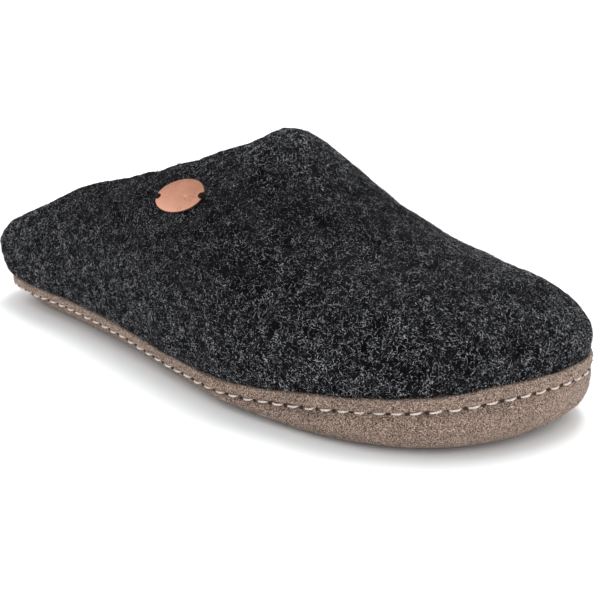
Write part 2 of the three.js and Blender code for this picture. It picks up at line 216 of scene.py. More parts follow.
# Fineness of the meshes
LINES_A_SIDE = 210
THROAT_CROWDING = 0.62
ROLL_STEPS = 16
GROOVE_STEPS = 8
LIP_SHARES = (0.33, 0.66, 1)
LIP_STEPS = 6
OVER_EDGE_STEPS = 5
SWELL_STEPS = 14
WALL_STEPS = 44
RIM_STEPS = 8
CORNER_STEPS = 4
FOOTBED_RINGS = (2, 5, 10, 16)
CUT_SEARCH_STEP = 0.01
CUT_HALVINGS = 24
OUTLINE_TRIES = 2000
KEY_DIGITS = 5
NO_AREA = 1e-12
NO_LENGTH = 1e-9

HALF_TURN = math.pi
QUARTER_TURN = math.pi / 2
rng = np.random.default_rng(7)


# Curves through the tables

def share_at(place):
    return (1 - np.cos(HALF_TURN * place)) / 2


def place_at(share):
    return np.arccos(1 - 2 * np.clip(share, 0, 1)) / HALF_TURN


def smooth(places, values):
    """A curve through a table's column, level where the values turn."""
    places = np.asarray(places, float)
    values = np.asarray(values, float)
    last = len(places) - 1
    slopes = np.zeros(last + 1)
    for i in range(last + 1):
        before = max(i - 1, 0)
        after = min(i + 1, last)
        turns = (values[after] - values[i]) * (values[i] - values[before]) <= 0
        if not (turns and 0 < i < last):
            slopes[i] = (values[after] - values[before]) / (places[after] - places[before])

    def curve(place):
        place = np.asarray(place, float)
        i = np.clip(np.searchsorted(places, place) - 1, 0, last - 1)
        step = places[i + 1] - places[i]
        s = (place - places[i]) / step
        rest = 1 - s
        return (
            (1 + 2 * s) * rest * rest * values[i]
            + s * rest * rest * step * slopes[i]
            + (3 - 2 * s) * s * s * values[i + 1]
            - s * s * rest * step * slopes[i + 1]
        )

    return curve


def along_outline(table, column, size):
    return smooth(place_at(np.array(table["at"])), np.array(table[column]) * size)


def along_length(table, column, size):
    return smooth(np.array(table["at"]) * LENGTH, np.array(table[column]) * size)


right_width = along_outline(OUTLINE, "right", BALL_WIDTH)
left_width = along_outline(OUTLINE, "left", BALL_WIDTH)
swell_height = along_outline(OUTLINE, "swell", SWELL_HEIGHT)
edge_top = along_outline(SOLE, "top", EDGE_HEIGHT)
seam_drop = along_outline(SOLE, "seam", SEAM_DROP)
edge_inset = along_outline(SOLE, "edge", ROLL)
girth_inset = along_outline(SOLE, "girth", ROLL)
tread_inset = along_outline(SOLE, "tread", ROLL)
cup_floor = along_outline(SOLE, "floor", SOLE_FLOOR)
tread_lift = along_outline(TREAD, "lift", TREAD_RISE)
tread_crown = along_outline(TREAD, "crown", TREAD_RISE)
ridge_height = along_length(RIDGE, "height", INSTEP_HEIGHT)
collar_height = along_length(COLLAR, "height", INSTEP_HEIGHT)


class Lines:
    """Lines of the form: their feet on the outline and their heads on the top line."""

    def __init__(self, place, side):
        self.place = place
        self.side = side
        x = LENGTH * share_at(place)
        ease = RIDGE_EASE * LENGTH
        start = RIDGE_START * LENGTH
        end = RIDGE_END * LENGTH
        eased = start + ease * np.log1p(np.exp((x - start) / ease))
        head_x = end - ease * np.log1p(np.exp((end - eased) / ease))
        head_place = place_at(head_x / LENGTH)
        head_y = (left_width(head_place) - right_width(head_place)) / 2 + RIDGE_LEAN
        foot_y = np.where(side < 0, -right_width(place), left_width(place))
        self.foot = np.stack([x, foot_y], -1)
        self.head = np.stack([head_x, head_y], -1)
        self.swell = swell_height(place)
        self.top = edge_top(place)
        self.seam = self.top - seam_drop(place)
        self.edge = edge_inset(place)
        self.girth = girth_inset(place)
        self.tread = tread_inset(place)
        self.floor = cup_floor(place)
        self.lift = tread_lift(place)
        self.crown_rise = tread_crown(place)

    def close(self):
        """Finds each line's way in, where the lines go all round the outline."""
        along = np.roll(self.foot, -1, 0) - np.roll(self.foot, 1, 0)
        along /= np.linalg.norm(along, axis=1)[:, None]
        self.inward = np.stack([-along[:, 1], along[:, 0]], -1)
        return self

    def loop(self, inset, height):
        spot = self.foot + self.inward * np.broadcast_to(inset, len(self.foot))[:, None]
        return np.column_stack([spot, np.broadcast_to(height, len(self.foot))])

    def crown(self, rise):
        """Points of the felt above its widest girth; the rise is 1 at the top line."""
        angle = QUARTER_TURN * np.asarray(rise)
        out = np.maximum(np.cos(angle), 0) ** CROWN_SIDE
        up = np.maximum(np.sin(angle), 0) ** CROWN_TOP
        spot = self.head + (self.foot - self.head) * out[..., None]
        height = self.swell + (ridge_height(spot[..., 0]) - self.swell) * up
        return np.concatenate([spot, height[..., None]], -1)


def lines_round(steps):
    even = np.arange(steps + 1) / steps
    place = even + THROAT_CROWDING * np.sin(2 * HALF_TURN * even) / (2 * HALF_TURN)
    places = np.concatenate([place, place[-2:0:-1]])
    sides = np.concatenate([-np.ones(steps + 1), np.ones(steps - 1)])
    return Lines(places, sides).close()


def collar_rises(lines):
    """Rise at which the collar cuts each line, or 1 where it runs up to the top line."""
    def above(rise):
        point = lines.crown(rise)
        return point[:, 2] > collar_height(point[:, 0])

    count = len(lines.place)
    tries = np.arange(0, 1, CUT_SEARCH_STEP)
    hits = np.array([above(np.full(count, rise)) for rise in tries])
    is_cut = hits.any(0)
    high = np.where(is_cut, tries[hits.argmax(0)], 1)
    low = high - CUT_SEARCH_STEP
    for _ in range(CUT_HALVINGS):
        middle = (low + high) / 2
        over = above(middle)
        high = np.where(over, middle, high)
        low = np.where(over, low, middle)
    return np.where(is_cut, high, 1)


ROUND = lines_round(LINES_A_SIDE)


# Where the form lies in the frame

def frame_shift():
    low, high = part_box("upper")
    fine = np.linspace(0, 1, OUTLINE_TRIES)
    middle = (left_width(fine).max() - right_width(fine).max()) / 2
    return np.array([low[0], (low[1] + high[1]) / 2 - middle * MM, 0])


SHIFT = frame_shift()


def placed(points):
    return np.asarray(points) * MM + SHIFT


# Meshes

def linked(name, data):
    obj = bpy.data.objects.new(name, data)
    bpy.context.scene.collection.objects.link(obj)
    return obj


def make_object(name, points, faces, material):
    """A smooth mesh object from points in the frame's metres."""
    mesh = bpy.data.meshes.new(name)
    mesh.from_pydata([tuple(p) for p in points], [], [tuple(f) for f in faces])
    mesh.validate()
    mesh.update()
    mesh.polygons.foreach_set("use_smooth", [True] * len(mesh.polygons))
    mesh.materials.append(material)
    return linked(name, mesh)


def welded(points, faces):
    """Joins points that share a place and drops faces that shrink to nothing."""
    keys = np.round(points, KEY_DIGITS)
    _, first, back = np.unique(keys, axis=0, return_index=True, return_inverse=True)
    back = back.ravel()
    kept = []
    for face in faces:
        ring = [int(back[i]) for i in face]
        ring = [a for a, b in zip(ring, ring[1:] + ring[:1]) if a != b]
        if len(set(ring)) == len(ring) and len(ring) > 2:
            kept.append(ring)
    return points[first], kept


def band_faces(rows, count, is_shut=None):
    """Faces between each loop and the next, turned out when the loops climb outside."""
    faces = []
    for row in range(rows - 1):
        for i in range(count):
            after = (i + 1) % count
            if is_shut is not None and is_shut(row, i, after):
                continue
            base = row * count
            faces.append((base + i, base + after, base + count + after, base + count + i))
    return faces


def lid_faces(row, count, is_up):
    """Strips across the foot from right to left on one loop."""
    base = row * count
    faces = []
    for step in range(count // 2):
        left = (count - step) % count
        left_next = count - step - 1
        ring = [step, step + 1, left_next, left]
        ring = [a for a, b in zip(ring, ring[1:] + ring[:1]) if a != b]
        if len(set(ring)) < 3:
            continue
        ring = [base + i for i in ring]
        faces.append(tuple(ring if is_up else ring[::-1]))
    return faces


def capped_faces(rows, count):
    """Faces between the loops, with a cap on the first loop and on the last."""
    first = tuple(range(count))[::-1]
    last = tuple((rows - 1) * count + i for i in range(count))
    return [*band_faces(rows, count), first, last]


def footed_faces(rows, count):
    """Faces between the loops, with strips across the foot on the first and the last."""
    return [*lid_faces(0, count, False), *band_faces(rows, count), *lid_faces(rows - 1, count, True)]


def ways_out(points, rows, count):
    """Way out of the faces at each point of the loops, shared where points meet."""
    grid = points.reshape(rows, count, 3)
    across = np.roll(grid, -1, 1) - grid
    sums = np.zeros((rows, count, 3))
    for row in range(rows - 1):
        climb = grid[row + 1] - grid[row]
        face = np.cross(across[row], climb) + np.cross(across[row + 1], climb)
        for target in (row, row + 1):
            sums[target] += face
            sums[target] += np.roll(face, 1, 0)
    keys = np.round(points, KEY_DIGITS)
    _, back = np.unique(keys, axis=0, return_inverse=True)
    back = back.ravel()
    total = np.zeros((back.max() + 1, 3))
    np.add.at(total, back, sums.reshape(-1, 3))
    out = total[back]
    return (out / np.linalg.norm(out, axis=1)[:, None]).reshape(rows, count, 3)


def roughened(points, normals, lumps):
    """Points moved in and out by soft noises of the given sizes."""
    for size, depth, seed in lumps:
        offset = Vector([seed * share for share in LUMP_SHIFT])
        amounts = [noise.noise(Vector(p) / (size * MM) + offset) for p in points]
        points = points + normals * (np.array(amounts) * (depth * MM))[:, None]
    return points


def freedom(points, kept, ease):
    """Share of a move that each point takes, none of it up to the kept height."""
    return np.clip((points[:, 2] - kept * MM) / (ease * MM), 0, 1)[:, None]


def four_corners(faces):
    """Corners of each face, with a triangle's last one counted twice."""
    return np.array([list(f) + [f[-1]] * (4 - len(f)) for f in faces])


def mesh_normals(points, faces):
    normals = np.zeros_like(points)
    quads = four_corners(faces)
    a, b, c, d = (points[quads[:, k]] for k in range(4))
    out = np.cross(c - a, d - b)
    flat = np.linalg.norm(out, axis=1) < NO_AREA
    out[flat] = np.cross(b - a, c - a)[flat]
    for k in range(4):
        np.add.at(normals, quads[:, k], out)
    lengths = np.linalg.norm(normals, axis=1)
    return normals / np.maximum(lengths, NO_AREA)[:, None]


# Materials

BLACK = (0, 0, 0)
WHITE = (1, 1, 1)
class Nodes:
    """A short way to build one material's nodes."""

    def __init__(self, name):
        self.material = bpy.data.materials.new(name)
        self.material.use_nodes = True
        self.tree = self.material.node_tree
        self.shader = self.tree.nodes["Principled BSDF"]
        self.place = self.add("ShaderNodeTexCoord").outputs["Object"]

    def add(self, kind, **settings):
        node = self.tree.nodes.new(kind)
        for key, value in settings.items():
            setattr(node, key, value)
        return node

    def link(self, source, target):
        self.tree.links.new(source, target)

    def noise(self, size, detail=3.0, roughness=0.5, distortion=0.0, kind="FBM"):
        """Noise whose blobs are about the given size in millimetres."""
        node = self.add("ShaderNodeTexNoise", noise_type=kind)
        node.inputs["Scale"].default_value = 1 / (size * MM)
        node.inputs["Detail"].default_value = detail
        node.inputs["Roughness"].default_value = roughness
        node.inputs["Distortion"].default_value = distortion
        self.link(self.place, node.inputs["Vector"])
        return node.outputs["Fac"]

    def ramp(self, source, *stops):
        node = self.add("ShaderNodeValToRGB")
        elements = node.color_ramp.elements
        while len(elements) < len(stops):
            elements.new(0.5)
        for element, (place, colour) in zip(elements, stops):
            element.position = place
            element.color = (*colour, 1)
        self.link(source, node.inputs["Fac"])
        return node.outputs["Color"]

    def rising(self, source, start, end):
        """Grey that rises from black to white between two values of the source."""
        return self.ramp(source, (start, BLACK), (end, WHITE))

    def mix(self, amount, first, second):
        node = self.add("ShaderNodeMix", data_type="RGBA")
        self.connect(amount, node.inputs[0])
        self.connect(first, node.inputs[6])
        self.connect(second, node.inputs[7])
        return node.outputs[2]

    def math(self, operation, first, second):
        node = self.add("ShaderNodeMath", operation=operation)
        self.connect(first, node.inputs[0])
        self.connect(second, node.inputs[1])
        return node.outputs[0]

    def connect(self, source, target):
        if isinstance(source, bpy.types.NodeSocket):
            self.link(source, target)
        elif isinstance(source, tuple):
            target.default_value = (*source, 1)
        else:
            target.default_value = source

    def bump(self, height, strength, distance, below=None):
        node = self.add("ShaderNodeBump")
        node.inputs["Strength"].default_value = strength
        node.inputs["Distance"].default_value = distance * MM
        self.link(height, node.inputs["Height"])
        if below is not None:
            self.link(below, node.inputs["Normal"])
        return node.outputs["Normal"]

    def by_height(self, *stops):
        """A grey that follows the height over the floor, from stops in millimetres."""
        parts = self.add("ShaderNodeSeparateXYZ")
        self.link(self.place, parts.inputs[0])
        share = self.math("DIVIDE", parts.outputs["Z"], INSTEP_HEIGHT * MM)
        greys = [(height / INSTEP_HEIGHT, (grey, grey, grey)) for height, grey in stops]
        return self.ramp(share, *greys)


FELT_DARK = (0.0016, 0.0016, 0.002)
FELT_MIDDLE = (0.007, 0.007, 0.0082)
FELT_LIGHT = (0.1, 0.099, 0.105)
FELT_SHEEN = (0.6, 0.6, 0.64)

# Painted shade by height: the share of the light fibres that shows at some heights, cut back around
# the instep's height so that it looks shaded
PAINTED_SHADE_BY_HEIGHT = ((0, 1.15), (34, 1.15), (54, 0.68), (78, 0.46), (97, 0.9))

LOOSE_DARK = (0.0045, 0.0045, 0.0055)
LOOSE_LIGHT = (0.63, 0.628, 0.652)
CLUMP_LOW = (0.35, 0.35, 0.35)

SUEDE_DARK = (0.055, 0.036, 0.027)
SUEDE_MIDDLE = (0.25, 0.172, 0.136)
SUEDE_LIGHT = (0.74, 0.57, 0.47)
SUEDE_SHEEN = (0.8, 0.7, 0.62)
NAP_DARK = (0.05, 0.033, 0.024)
NAP_LIGHT = (0.86, 0.68, 0.54)
# the pinholes' dark colour is painted shade in the stitch holes
PINHOLE_PAINTED_SHADE = (0.045, 0.03, 0.023)

THREAD_DARK = (0.5, 0.41, 0.36)
THREAD_LIGHT = (0.82, 0.72, 0.66)
STRAND_DARK = (0.003, 0.002, 0.002)
STRAND_LIGHT = (0.012, 0.008, 0.007)

COPPER_DARK = (0.31, 0.13, 0.078)
COPPER_LIGHT = (0.39, 0.17, 0.105)
COPPER_PAINTED_HIGHLIGHT = (0.6, 0.3, 0.2)
COPPER_ROUGHNESS = ((0.3, (0.24, 0.24, 0.24)), (0.7, (0.36, 0.36, 0.36)))
DARK_RIM_COLOUR = (0.05, 0.02, 0.013)

FLOOR_COLOUR = (0.93, 0.93, 0.93)


def shaded(colour, brightness):
    return tuple(channel * brightness for channel in colour)


def felt_material(name, brightness=1.0):
    nodes = Nodes(name)
    dark = shaded(FELT_DARK, brightness)
    middle = shaded(FELT_MIDDLE, brightness)
    light = shaded(FELT_LIGHT, brightness)
    patches = nodes.noise(size=7, detail=4, roughness=0.6)
    curls = nodes.noise(
        size=1.6, detail=3, roughness=0.55, distortion=2.2, kind="RIDGED_MULTIFRACTAL"
    )
    fibres = nodes.noise(size=0.5, detail=2, roughness=0.6, distortion=1.5)
    ground = nodes.ramp(patches, (0.36, dark), (0.64, middle))
    strands = nodes.rising(curls, 0.45, 0.95)
    broken = nodes.math("MULTIPLY", strands, nodes.rising(fibres, 0.42, 0.66))
    # the light fibres are thinned out by height, as painted shade around the instep
    hairs_with_painted_shade = nodes.math("MULTIPLY", broken, nodes.by_height(*PAINTED_SHADE_BY_HEIGHT))
    nodes.link(nodes.mix(hairs_with_painted_shade, ground, light), nodes.shader.inputs["Base Color"])
    lumps = nodes.noise(size=2.6, detail=4, roughness=0.6, distortion=0.8)
    low = nodes.bump(lumps, strength=0.75, distance=0.5)
    curled = nodes.bump(curls, strength=0.6, distance=0.16, below=low)
    fine = nodes.bump(fibres, strength=0.5, distance=0.08, below=curled)
    nodes.link(fine, nodes.shader.inputs["Normal"])
    nodes.shader.inputs["Roughness"].default_value = 1.0
    nodes.shader.inputs["Specular IOR Level"].default_value = 0.02
    nodes.shader.inputs["Sheen Weight"].default_value = 0.01
    nodes.shader.inputs["Sheen Roughness"].default_value = 0.6
    nodes.shader.inputs["Sheen Tint"].default_value = (*FELT_SHEEN, 1)
    return nodes.material


def fibre_material(name, dark, light):
    """Loose fibres: dark ones and light ones, with the light ones gathered in clumps and thinned out
    by height as painted shade.
    """
    nodes = Nodes(name)
    clouds = nodes.noise(size=5, detail=3, roughness=0.6)
    clumps = nodes.ramp(clouds, (0.36, CLUMP_LOW), (0.66, WHITE))
    strands = nodes.rising(nodes.noise(size=0.7, detail=1, roughness=0.5), 0.42, 0.66)
    lights = nodes.math("MULTIPLY", clumps, strands)
    # the light ones are thinned out by height, as painted shade around the instep
    lights_with_painted_shade = nodes.math("MULTIPLY", lights, nodes.by_height(*PAINTED_SHADE_BY_HEIGHT))
    nodes.link(nodes.mix(lights_with_painted_shade, dark, light), nodes.shader.inputs["Base Color"])
    nodes.shader.inputs["Roughness"].default_value = 0.9
    nodes.shader.inputs["Specular IOR Level"].default_value = 0.06
    return nodes.material


def suede_material(name):
    nodes = Nodes(name)
    brushed = nodes.noise(size=7, detail=4, roughness=0.62, distortion=0.6)
    nap = nodes.noise(size=0.75, detail=3, roughness=0.7, distortion=0.3)
    specks = nodes.noise(size=0.42, detail=2, roughness=0.6)
    low_tone = shaded(SUEDE_MIDDLE, 0.85)
    high_tone = shaded(SUEDE_MIDDLE, 1.3)
    ground = nodes.ramp(brushed, (0.33, low_tone), (0.68, high_tone))
    hollows = nodes.ramp(nap, (0.43, WHITE), (0.56, BLACK))
    sunk = nodes.mix(hollows, ground, SUEDE_DARK)
    lit = nodes.mix(nodes.rising(specks, 0.52, 0.7), sunk, SUEDE_LIGHT)
    nodes.link(lit, nodes.shader.inputs["Base Color"])
    low = nodes.bump(nodes.noise(size=3.2, detail=3, roughness=0.55), strength=0.7, distance=0.45)
    brushed_up = nodes.bump(nap, strength=0.9, distance=0.25, below=low)
    fine = nodes.bump(specks, strength=0.6, distance=0.1, below=brushed_up)
    nodes.link(fine, nodes.shader.inputs["Normal"])
    nodes.shader.inputs["Roughness"].default_value = 0.95
    nodes.shader.inputs["Specular IOR Level"].default_value = 0.15
    nodes.shader.inputs["Sheen Weight"].default_value = 0.2
    nodes.shader.inputs["Sheen Roughness"].default_value = 0.5
    nodes.shader.inputs["Sheen Tint"].default_value = (*SUEDE_SHEEN, 1)
    return nodes.material


def thread_material(name, dark, light):
    nodes = Nodes(name)
    tones = nodes.noise(size=0.5, detail=2, roughness=0.6)
    nodes.link(nodes.ramp(tones, (0.35, dark), (0.6, light)), nodes.shader.inputs["Base Color"])
    plies = nodes.noise(size=0.18, detail=2, roughness=0.6)
    nodes.link(nodes.bump(plies, strength=0.5, distance=0.05), nodes.shader.inputs["Normal"])
    nodes.shader.inputs["Roughness"].default_value = 0.85
    nodes.shader.inputs["Specular IOR Level"].default_value = 0.08
    return nodes.material


def copper_material(name, low, high):
    """Satin copper, with a painted highlight at its low edge that fades into its own cloudy colour
    towards its high one.
    """
    nodes = Nodes(name)
    clouds = nodes.noise(size=6, detail=2, roughness=0.5)
    cloudy = nodes.ramp(clouds, (0.35, COPPER_DARK), (0.68, COPPER_LIGHT))
    # painted highlight: bright copper at the badge's low edge, none at its high edge
    painted_highlight_and_dark_rim = nodes.by_height((low, 0), ((low + high) / 2, 0.75), (high, 1))
    nodes.link(nodes.mix(painted_highlight_and_dark_rim, COPPER_PAINTED_HIGHLIGHT, cloudy), nodes.shader.inputs["Base Color"])
    fine = nodes.noise(size=0.35, detail=3, roughness=0.6)
    nodes.link(nodes.ramp(fine, *COPPER_ROUGHNESS), nodes.shader.inputs["Roughness"])
    nodes.link(nodes.bump(fine, strength=0.12, distance=0.03), nodes.shader.inputs["Normal"])
    nodes.shader.inputs["Metallic"].default_value = 1.0
    return nodes.material


def plain_material(name, colour, roughness):
    nodes = Nodes(name)
    nodes.shader.inputs["Base Color"].default_value = (*colour, 1)
    nodes.shader.inputs["Roughness"].default_value = roughness
    nodes.shader.inputs["Specular IOR Level"].default_value = 0.1
    return nodes.material


FELT = felt_material("felt")
FOOTBED = felt_material("footbed_felt", brightness=2.8)
SUEDE = suede_material("suede")


# Felt upper

def upper_loops():
    """Loops of the felt shell, from its foot in the cup over the collar and down inside."""
    lines = ROUND
    foot = lines.edge + SUEDE_WALL + GAP
    bottom = lines.floor + GAP
    rim = SUEDE_WALL / 2
    reach = rim + GAP
    rises = collar_rises(lines)
    is_open = rises < 1
    over_edge = []
    for angle in np.linspace(0, QUARTER_TURN, OVER_EDGE_STEPS + 1):
        over_edge.append(lines.loop(
            lines.edge + rim + reach * math.cos(angle),
            lines.top - rim + reach * math.sin(angle),
        ))
    swelling = []
    for angle in np.linspace(0, QUARTER_TURN, SWELL_STEPS + 1)[1:]:
        low = lines.top + GAP
        swelling.append(lines.loop(
            (lines.edge + rim) * (1 - math.sin(angle)),
            lines.swell + (low - lines.swell) * math.cos(angle),
        ))
    crown = [lines.crown(rises * step) for step in np.linspace(0, 1, WALL_STEPS + 1)[1:]]
    outside = [lines.loop(foot, bottom), *over_edge, *swelling, *crown]
    count = len(lines.place)
    out = ways_out(np.concatenate(outside), len(outside), count)
    first_inside = 1 + len(over_edge) + SWELL_STEPS // 2
    inside = [
        outside[row] - out[row] * FELT_WALL
        for row in range(len(outside) - 1, first_inside, -1)
    ]
    inside.append(lines.loop(foot + FELT_WALL, lines.top))
    inside.append(lines.loop(foot + FELT_WALL, bottom))

    edge = outside[-1]
    normal = out[-1]
    along = np.roll(edge, -1, 0) - np.roll(edge, 1, 0)
    free = np.cross(normal, along)
    free /= np.maximum(np.linalg.norm(free, axis=1), NO_LENGTH)[:, None]
    middle = edge - normal * FELT_WALL / 2
    rounded = []
    for angle in np.linspace(0, HALF_TURN, RIM_STEPS + 2)[1:-1]:
        bulge = FELT_WALL * RIM_ROUND * math.sin(angle) * is_open[:, None]
        rounded.append(middle + normal * FELT_WALL / 2 * math.cos(angle) + free * bulge)
    loops = [*outside, *rounded, *inside, outside[0]]
    first = len(outside) - 1
    last = len(outside) + len(rounded)

    def is_shut(row, i, after):
        return first <= row < last and not is_open[i] and not is_open[after]

    return loops, is_shut


# Faces that look up more steeply than this belong to the outside
STEEPEST_INSIDE = 0.35


def looks_in(points, normals):
    """Whether each spot of the felt lies on the inside of the shell."""
    local = (points - SHIFT) / MM
    heads = ROUND.head[: LINES_A_SIDE + 1]
    head_x = np.clip(local[:, 0], heads[0, 0], heads[-1, 0])
    head_y = np.interp(head_x, heads[:, 0], heads[:, 1])
    inward = np.stack([head_x, head_y], -1) - local[:, :2]
    return ((normals[:, :2] * inward).sum(1) > 0) & (normals[:, 2] < STEEPEST_INSIDE)


def creased(points, normals):
    """Points moved by the soft troughs and ridges, both faces of the wall alike."""
    out = np.where(looks_in(points, normals), -1, 1)[:, None] * normals
    moves = np.zeros(len(points))
    for start, end, width, rise in CREASES:
        start = placed(start)
        along = placed(end) - start
        share = np.clip((points - start) @ along / (along @ along), 0, 1)
        reach = np.linalg.norm(points - start - share[:, None] * along, axis=1)
        moves += rise * MM * np.exp(-((reach / (width * MM)) ** 2))
    return points + out * moves[:, None]


def make_upper():
    loops, is_shut = upper_loops()
    count = len(ROUND.place)
    points = placed(np.concatenate(loops))
    points, faces = welded(points, band_faces(len(loops), count, is_shut))
    normals = mesh_normals(points, faces)
    # the foot in the cup keeps its place
    moves = normals * freedom(points, FOOT_KEPT, FOOT_EASE)
    points = creased(points, moves)
    points = roughened(points, moves, FELT_LUMPS)
    return make_object("felt_upper", points, faces, FELT), points, faces


upper, upper_points, upper_faces = make_upper()
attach(upper, "root")
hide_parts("upper")


# Suede sole

def arc_lengths(points):
    steps = np.linalg.norm(np.roll(points, -1, 0) - points, axis=1)
    return np.concatenate([[0], np.cumsum(steps)])


def stitch_count():
    seam_loop = ROUND.loop(ROUND.edge, ROUND.seam)
    return round(arc_lengths(seam_loop)[-1] / STITCH_PITCH)


STITCHES = stitch_count()


def seam_places():
    """Where along the stitches each line lies, one unit a stitch."""
    seam_loop = ROUND.loop(ROUND.edge, ROUND.seam)
    lengths = arc_lengths(seam_loop)
    return lengths[:-1] / lengths[-1] * STITCHES


def make_sole():
    lines = ROUND
    rim = SUEDE_WALL / 2
    lip = lines.seam - SEAM_WIDTH
    # the suede is pulled in at each pinhole
    slack = 0.5 - 0.5 * np.cos(2 * HALF_TURN * seam_places())
    depth = SEAM_DEPTH * (1 - PUCKER * slack)
    base = lines.lift + lines.crown_rise
    tread_edge = lines.foot + lines.inward * lines.tread[:, None]
    flat = lines.head + (tread_edge - lines.head) * TREAD_FLAT
    loops = [np.column_stack([flat, tread_lift(place_at(flat[:, 0] / LENGTH))])]
    for angle in np.linspace(0, QUARTER_TURN, ROLL_STEPS + 1):
        loops.append(lines.loop(
            lines.tread + (lines.girth - lines.tread) * math.sin(angle),
            base + (lip - base) * GIRTH_SHARE * (1 - math.cos(angle)),
        ))
    # the wall leans back from its girth into the sunk seam and out again
    low_height = base + (lip - base) * GIRTH_SHARE
    for t in np.linspace(0, 1, GROOVE_STEPS + 1)[1:]:
        ease = t * t * (3 - 2 * t)
        loops.append(lines.loop(
            lines.girth + (lines.edge + depth - lines.girth) * ease,
            low_height + (lines.seam - low_height) * t,
        ))
    for t in np.linspace(0, 1, GROOVE_STEPS // 2 + 1)[1:]:
        ease = math.sin(t * QUARTER_TURN)
        loops.append(lines.loop(
            lines.edge + depth * (1 - ease),
            lines.seam + SEAM_WIDTH * t,
        ))
    for t in LIP_SHARES:
        loops.append(lines.loop(
            lines.edge,
            lines.seam + SEAM_WIDTH + (lines.top - rim - lines.seam - SEAM_WIDTH) * t,
        ))
    for angle in np.linspace(0, HALF_TURN, LIP_STEPS + 1)[1:]:
        loops.append(lines.loop(
            lines.edge + rim * (1 - math.cos(angle)),
            lines.top - rim + rim * math.sin(angle),
        ))
    loops.append(lines.loop(lines.edge + SUEDE_WALL, lines.floor))
    points = placed(np.concatenate(loops))
    points, faces = welded(points, footed_faces(len(loops), len(lines.place)))
    normals = mesh_normals(points, faces)
    # the tread stays on the floor
    moves = normals * freedom(points, TREAD_KEPT, TREAD_EASE)
    points = roughened(points, moves, SUEDE_LUMPS)
    return make_object("suede_sole", points, faces, SUEDE), points, faces


sole, sole_points, sole_faces = make_sole()
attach(sole, "root")
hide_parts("sole")


# Felt footbed

def make_insole():
    lines = ROUND
    inset = lines.edge + SUEDE_WALL + FELT_WALL + 2 * GAP
    bottom = lines.floor + GAP
    corner = INSOLE_THICK * INSOLE_ROUND
    loops = [lines.loop(inset + corner, bottom)]
    for angle in np.linspace(0, QUARTER_TURN, CORNER_STEPS + 1):
        loops.append(lines.loop(
            inset + corner * (1 - math.cos(angle)),
            bottom + INSOLE_THICK - corner + corner * math.sin(angle),
        ))
    for inward in FOOTBED_RINGS:
        loops.append(lines.loop(inset + corner + inward, bottom + INSOLE_THICK))
    points = placed(np.concatenate(loops))
    points, faces = welded(points, footed_faces(len(loops), len(lines.place)))
    return make_object("felt_footbed", points, faces, FOOTBED)


insole = make_insole()
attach(insole, "root")
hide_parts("insole")


# Stitches and pinholes

def turns_round(sides):
    return np.arange(sides) / sides * 2 * HALF_TURN


def tube(path, ups, radii, sides):
    """Points and faces of a closed tube; its radii are for the path, or for each side."""
    tangents = np.gradient(path, axis=0)
    tangents /= np.linalg.norm(tangents, axis=1)[:, None]
    across = np.cross(tangents, ups)
    across /= np.linalg.norm(across, axis=1)[:, None]
    ups = np.cross(across, tangents)
    turns = turns_round(sides)[:, None, None]
    ring = np.cos(turns) * across + np.sin(turns) * ups
    points = path + ring * np.broadcast_to(radii, (sides, len(path)))[:, :, None]
    points = np.swapaxes(points, 0, 1).reshape(-1, 3)
    return points, capped_faces(len(path), sides)


def joined(parts):
    points = []
    faces = []
    base = 0
    for part_points, part_faces in parts:
        points.append(part_points)
        faces.extend(tuple(i + base for i in face) for face in part_faces)
        base += len(part_points)
    return np.concatenate(points), faces


def seam_frame(places):
    """Points on the seam, the way along it and the way out, at places in stitches."""
    lines = ROUND
    at = seam_places()
    count = len(lines.place)
    points = lines.loop(lines.edge + SEAM_DEPTH * THREAD_SEAT, lines.seam)
    extended = np.concatenate([at, [STITCHES]])
    wrapped = np.mod(places, STITCHES)

    def along(values):
        closed = np.concatenate([values, values[:1]])
        return np.stack([np.interp(wrapped, extended, column) for column in closed.T], -1)

    out = along(np.column_stack([-lines.inward, np.zeros(count)]))
    out /= np.linalg.norm(out, axis=1)[:, None]
    return along(points), out


def make_stitches():
    parts = []
    t = np.linspace(-1, 1, STITCH_STEPS)
    turns = turns_round(THREAD_SIDES)[:, None]
    half = STITCH_LENGTH / STITCH_PITCH / 2
    rise = THREAD_RADIUS * THREAD_RISE - THREAD_DIP * np.abs(t) ** 3
    # the thread is round at its ends, and its plies twist round each other
    taper = np.sqrt(np.clip(1.02 - np.abs(t) ** 5, 0.08, 1))
    ply = 1 + PLY_DEPTH * np.cos(2 * turns - PLY_TWIST * t)
    radii = THREAD_RADIUS * taper * ply
    for k in range(STITCHES):
        shift, stretch = rng.normal(0, STITCH_WOBBLE, 2)
        slant = rng.normal(STITCH_SLANT, STITCH_SPREAD)
        sag = rng.normal(STITCH_SAG, STITCH_SPREAD)
        points, out = seam_frame(k + 0.5 + shift + t * half * (1 + stretch))
        path = points + out * rise[:, None]
        path[:, 2] += slant * t - sag * (1 - t * t)
        parts.append(tube(placed(path), out, radii * MM, THREAD_SIDES))
    points, faces = joined(parts)
    material = thread_material("stitch_thread", THREAD_DARK, THREAD_LIGHT)
    return make_object("seam_stitches", points, faces, material)


